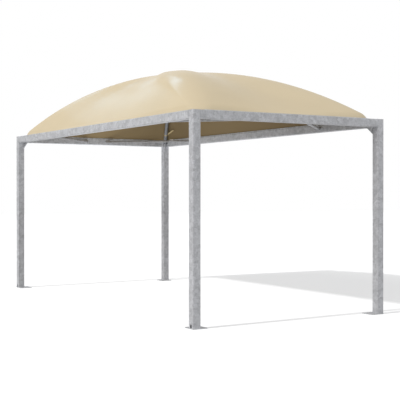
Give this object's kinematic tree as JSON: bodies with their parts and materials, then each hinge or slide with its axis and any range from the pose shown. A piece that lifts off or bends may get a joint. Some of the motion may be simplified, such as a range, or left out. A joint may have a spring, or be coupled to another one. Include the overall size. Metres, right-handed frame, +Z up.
{
  "type": "gazebo",
  "caption": "Open garden gazebo of galvanised square tube with a cream membrane roof stretched over crossing bows",
  "frame": {"origin": "on the ground at the middle of the plan", "axes": "+X along the long side to the right, +Y to the back, +Z up"},
  "size_m": [5.8, 2.81, 3.291],
  "materials": {
    "galvanised": "hot-dip galvanised steel with a mottled spangle",
    "rail": "plain extruded aluminium",
    "membrane": "cream coated membrane with a soft sheen",
    "webbing": "tan woven webbing"
  },
  "bodies": {
    "root": {"post_front_left": "galvanised", "post_front_right": "galvanised", "post_back_left": "galvanised", "post_back_right": "galvanised", "base_plate_front_left": "galvanised", "base_plate_front_right": "galvanised", "base_plate_back_left": "galvanised", "base_plate_back_right": "galvanised", "post_cap_front_left": "galvanised", "post_cap_front_right": "galvanised", "post_cap_back_left": "galvanised", "post_cap_back_right": "galvanised", "corner_brace_front_left": "galvanised", "corner_brace_front_right": "galvanised", "corner_brace_back_left": "galvanised", "corner_brace_back_right": "galvanised", "knee_plate_front_left": "galvanised", "knee_plate_front_right": "galvanised", "knee_plate_back_left": "galvanised", "knee_plate_back_right": "galvanised", "bow_front_left": "galvanised", "bow_front_right": "galvanised", "bow_back_left": "galvanised", "bow_back_right": "galvanised", "bow_foot_front_left": "galvanised", "bow_foot_front_right": "galvanised", "bow_foot_back_left": "galvanised", "bow_foot_back_right": "galvanised", "tie_strap_front_left": "webbing", "tie_strap_front_right": "webbing", "tie_strap_back_left": "webbing", "tie_strap_back_right": "webbing", "beam_front": "galvanised", "beam_right": "galvanised", "beam_back": "galvanised", "beam_left": "galvanised", "edge_rail_front": "rail", "edge_rail_right": "rail", "edge_rail_back": "rail", "edge_rail_left": "rail", "canopy_front": "membrane", "canopy_right": "membrane", "canopy_back": "membrane", "canopy_left": "membrane", "crown_hub": "galvanised"}
  },
  "joints": []
}
